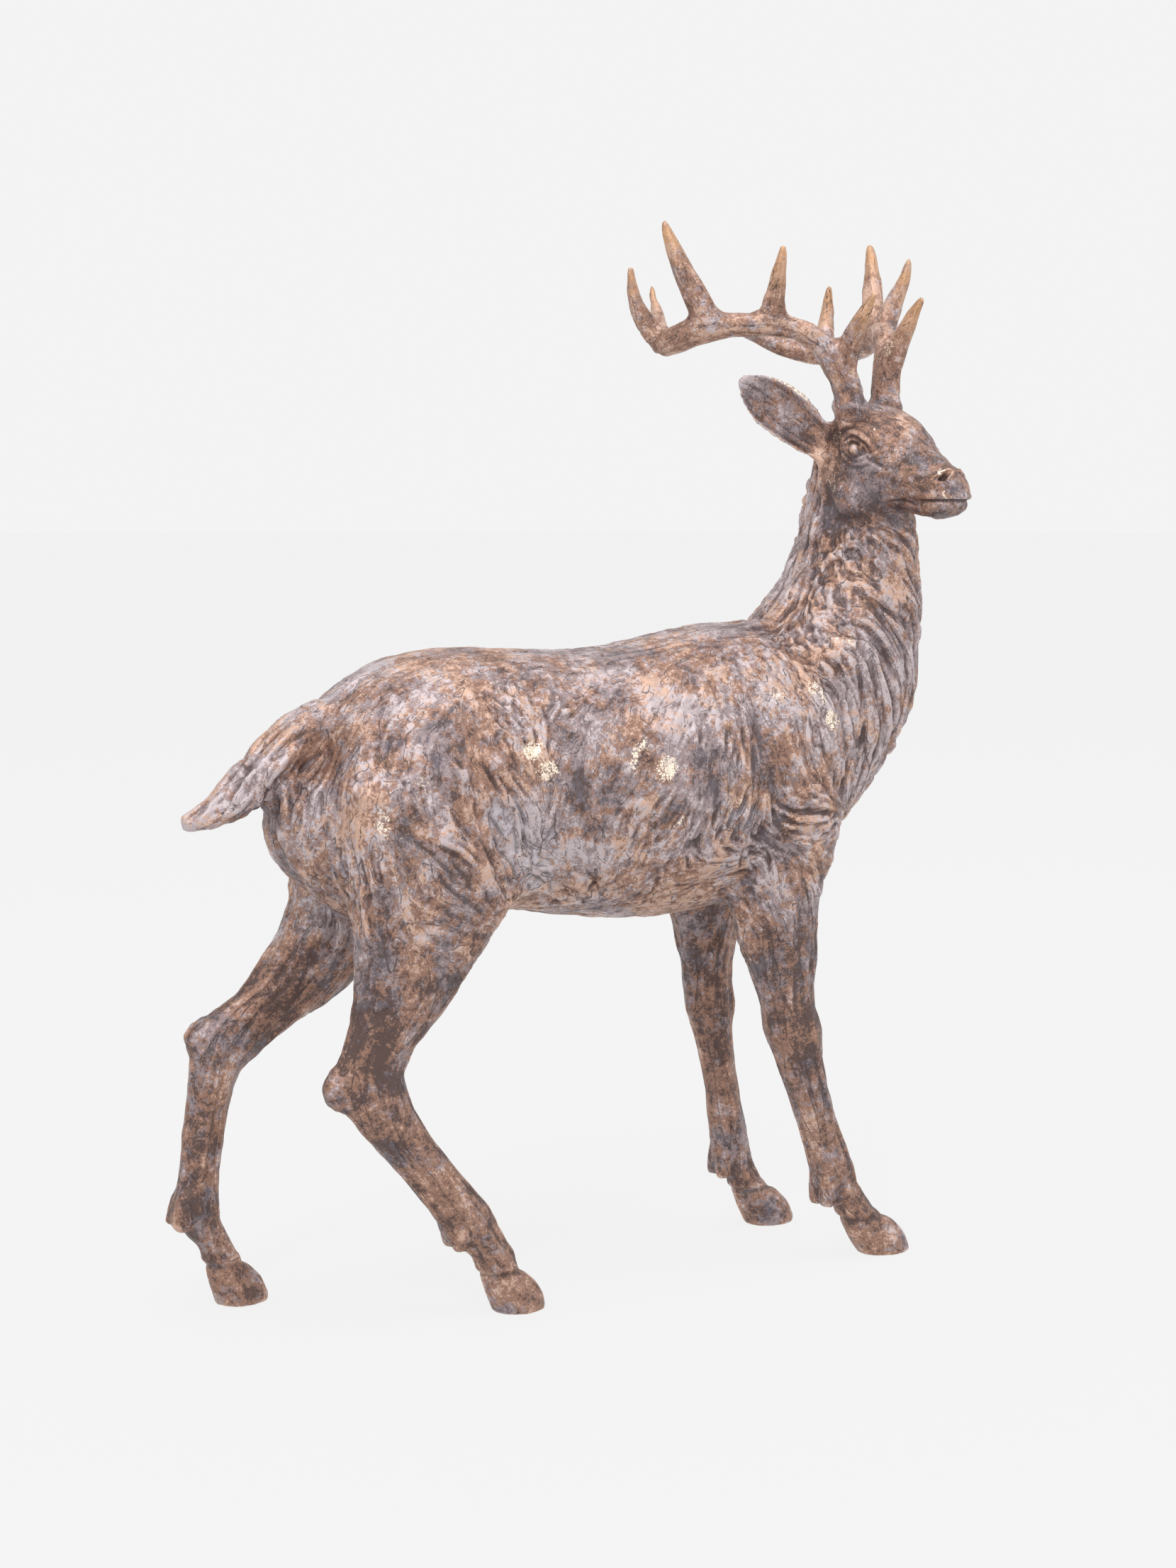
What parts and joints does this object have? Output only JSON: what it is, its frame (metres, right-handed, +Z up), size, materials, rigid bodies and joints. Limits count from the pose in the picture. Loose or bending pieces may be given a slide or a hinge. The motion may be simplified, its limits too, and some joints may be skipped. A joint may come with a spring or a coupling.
{
  "type": "reindeer figurine",
  "caption": "Antique bronze finish figurine of a standing reindeer with branching antlers, its head turned over its right shoulder, standing on its own flat hooves.",
  "frame": {"origin": "on the ground, under the middle of the figure's bounding box", "axes": "+Z up, +X the way the body points, +Y the animal's left side"},
  "size_m": [0.338, 0.149, 0.4135],
  "materials": {
    "antique_bronze_paint": "satin"
  },
  "bodies": {
    "root": {"reindeer": "antique_bronze_paint"}
  },
  "joints": []
}
